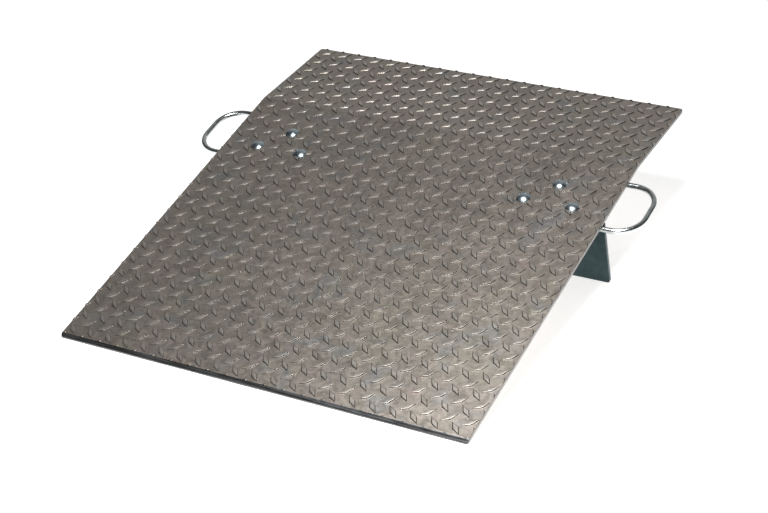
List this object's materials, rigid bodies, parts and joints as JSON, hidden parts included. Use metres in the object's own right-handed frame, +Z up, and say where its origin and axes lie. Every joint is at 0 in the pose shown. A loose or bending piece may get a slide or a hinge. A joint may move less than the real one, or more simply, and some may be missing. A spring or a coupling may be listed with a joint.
{
  "type": "portable loading dock plate",
  "caption": "Bent aluminium tread-plate dock plate with a bevelled front edge, two bolted steel locking legs and two round-bar carrying handles at its sides.",
  "frame": {"origin": "on the floor under the centre of the bounding box, as the plate stands on its front edge and its two legs", "axes": "+X to the right across the plate seen from its front edge, +Y from the bevelled front edge to the rear flap, +Z up"},
  "size_m": [0.892, 0.894, 0.1893],
  "materials": {
    "tread_aluminium": "mill-finish rolled tread plate, mottled satin",
    "leg_zinc": "bright zinc-plated steel plate",
    "handle_zinc": "bright zinc-plated round bar",
    "weld_metal": "rippled weld bead under zinc plating",
    "fastener_zinc": "blue-white zinc plating"
  },
  "bodies": {
    "root": {"tread_plate": "tread_aluminium", "left_leg": "leg_zinc", "left_handle": "handle_zinc", "left_handle_welds": "weld_metal", "right_leg": "leg_zinc", "right_handle": "handle_zinc", "right_handle_welds": "weld_metal", "carriage_bolt_left_front_inner": "fastener_zinc", "lock_washer_left_front_inner": "fastener_zinc", "hex_nut_left_front_inner": "fastener_zinc", "carriage_bolt_left_front_outer": "fastener_zinc", "lock_washer_left_front_outer": "fastener_zinc", "hex_nut_left_front_outer": "fastener_zinc", "carriage_bolt_left_rear": "fastener_zinc", "lock_washer_left_rear": "fastener_zinc", "hex_nut_left_rear": "fastener_zinc", "carriage_bolt_right_front_inner": "fastener_zinc", "lock_washer_right_front_inner": "fastener_zinc", "hex_nut_right_front_inner": "fastener_zinc", "carriage_bolt_right_front_outer": "fastener_zinc", "lock_washer_right_front_outer": "fastener_zinc", "hex_nut_right_front_outer": "fastener_zinc", "carriage_bolt_right_rear": "fastener_zinc", "lock_washer_right_rear": "fastener_zinc", "hex_nut_right_rear": "fastener_zinc"}
  },
  "joints": []
}
